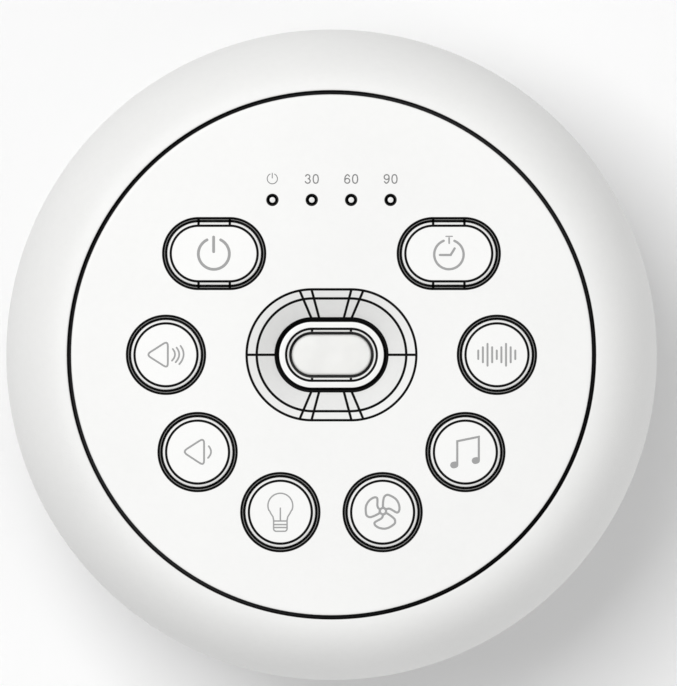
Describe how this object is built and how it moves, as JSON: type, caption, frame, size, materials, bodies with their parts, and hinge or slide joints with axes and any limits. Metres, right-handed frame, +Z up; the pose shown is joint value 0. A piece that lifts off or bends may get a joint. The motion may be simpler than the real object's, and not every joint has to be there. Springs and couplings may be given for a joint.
{
  "type": "white noise sound machine",
  "caption": "Round tabletop white noise machine with a control panel of push buttons, indicator windows, a recessed night light, a slotted grille ring and rear sockets.",
  "frame": {"origin": "centre of the footprint on the surface it rests on", "axes": "+Z up, -Y towards the front (the side of the fan and light buttons), +X to the right seen from the front, +Y towards the sockets"},
  "size_m": [0.12, 0.12, 0.066],
  "materials": {
    "white_shell": "fine matt white moulded plastic",
    "white_panel": "smooth satin white plastic",
    "white_button": "smooth satin white plastic with grey printed symbols",
    "white_grille": "fine matt white moulded plastic",
    "dark_seal": "dark foam rubber",
    "bezel_plastic": "smooth white plastic ring",
    "frosted_lens": "frosted translucent plastic",
    "clear_pipe": "clear moulded plastic, frosted at the tips",
    "reflector_white": "bright white plastic",
    "foot_rubber": "dark grey rubber",
    "screw_steel": "zinc plated steel",
    "board_green": "green solder resist",
    "chip_black": "black epoxy",
    "switch_black": "black plastic switch body",
    "plunger_plastic": "grey plastic stem",
    "led_yellow": "yellow phosphor in white plastic",
    "capacitor_sleeve": "aluminium can with a printed sleeve",
    "connector_white": "cream nylon",
    "baffle_plastic": "dark grey plastic",
    "foam": "black foam",
    "basket_steel": "black painted pressed steel",
    "plated_steel": "zinc plated steel",
    "ferrite": "dark grey ferrite",
    "paper_cone": "pressed black paper",
    "surround_rubber": "soft black rubber",
    "spider_cloth": "resin-stiffened cloth",
    "coil_wire": "enamelled copper wire",
    "jack_black": "black nylon",
    "pin_metal": "nickel plated brass",
    "wire_sleeve": "coloured PVC sleeve"
  },
  "bodies": {
    "housing": {"upper_shell": "white_shell", "base_plate": "white_shell", "speaker_grille": "white_grille", "top_panel": "white_panel", "panel_gasket": "dark_seal", "light_bezel": "bezel_plastic", "light_lens": "frosted_lens", "indicator_light_pipe": "clear_pipe", "light_reflector": "reflector_white", "rubber_feet": "foot_rubber", "base_screws": "screw_steel", "panel_screws": "screw_steel", "board_screws": "screw_steel", "baffle_screws": "screw_steel", "speaker_screws": "screw_steel", "jack_screws": "screw_steel", "control_board": "board_green", "jack_board": "board_green", "tact_switches": "switch_black", "indicator_leds": "led_yellow", "night_light_leds": "led_yellow", "sound_chip": "chip_black", "amplifier_chip": "chip_black", "capacitors": "capacitor_sleeve", "board_connectors": "connector_white", "speaker_baffle": "baffle_plastic", "speaker_gasket": "foam", "speaker_basket": "basket_steel", "speaker_top_plate": "plated_steel", "speaker_magnet": "ferrite", "speaker_yoke": "plated_steel", "speaker_surround": "surround_rubber", "speaker_spider": "spider_cloth", "dc_jack": "jack_black", "audio_jack": "jack_black", "dc_jack_pin": "pin_metal", "speaker_leads": "wire_sleeve", "power_leads": "wire_sleeve"},
    "volume_up_key": {"volume_up_button": "white_button", "volume_up_plunger": "plunger_plastic"},
    "volume_down_key": {"volume_down_button": "white_button", "volume_down_plunger": "plunger_plastic"},
    "light_key": {"light_button": "white_button", "light_plunger": "plunger_plastic"},
    "fan_key": {"fan_button": "white_button", "fan_plunger": "plunger_plastic"},
    "music_key": {"music_button": "white_button", "music_plunger": "plunger_plastic"},
    "noise_key": {"noise_button": "white_button", "noise_plunger": "plunger_plastic"},
    "power_key": {"power_button": "white_button", "power_plunger": "plunger_plastic"},
    "timer_key": {"timer_button": "white_button", "timer_plunger": "plunger_plastic"},
    "cone_assembly": {"speaker_cone": "paper_cone", "speaker_dust_cap": "paper_cone", "speaker_voice_coil": "coil_wire"}
  },
  "joints": [
    {"name": "volume_up_press", "type": "slide", "parent": "housing", "child": "volume_up_key", "axis": [0, 0, -1], "range_m": [0, 0.0008], "stiffness_N_per_m": 800, "springref_m": -0.0005},
    {"name": "volume_down_press", "type": "slide", "parent": "housing", "child": "volume_down_key", "axis": [0, 0, -1], "range_m": [0, 0.0008], "stiffness_N_per_m": 800, "springref_m": -0.0005},
    {"name": "light_press", "type": "slide", "parent": "housing", "child": "light_key", "axis": [0, 0, -1], "range_m": [0, 0.0008], "stiffness_N_per_m": 800, "springref_m": -0.0005},
    {"name": "fan_press", "type": "slide", "parent": "housing", "child": "fan_key", "axis": [0, 0, -1], "range_m": [0, 0.0008], "stiffness_N_per_m": 800, "springref_m": -0.0005},
    {"name": "music_press", "type": "slide", "parent": "housing", "child": "music_key", "axis": [0, 0, -1], "range_m": [0, 0.0008], "stiffness_N_per_m": 800, "springref_m": -0.0005},
    {"name": "noise_press", "type": "slide", "parent": "housing", "child": "noise_key", "axis": [0, 0, -1], "range_m": [0, 0.0008], "stiffness_N_per_m": 800, "springref_m": -0.0005},
    {"name": "power_press", "type": "slide", "parent": "housing", "child": "power_key", "axis": [0, 0, -1], "range_m": [0, 0.0008], "stiffness_N_per_m": 800, "springref_m": -0.0005},
    {"name": "timer_press", "type": "slide", "parent": "housing", "child": "timer_key", "axis": [0, 0, -1], "range_m": [0, 0.0008], "stiffness_N_per_m": 800, "springref_m": -0.0005},
    {"name": "cone_stroke", "type": "slide", "parent": "housing", "child": "cone_assembly", "axis": [0, 0, -1], "range_m": [-0.0008, 0.0008], "stiffness_N_per_m": 1500}
  ]
}
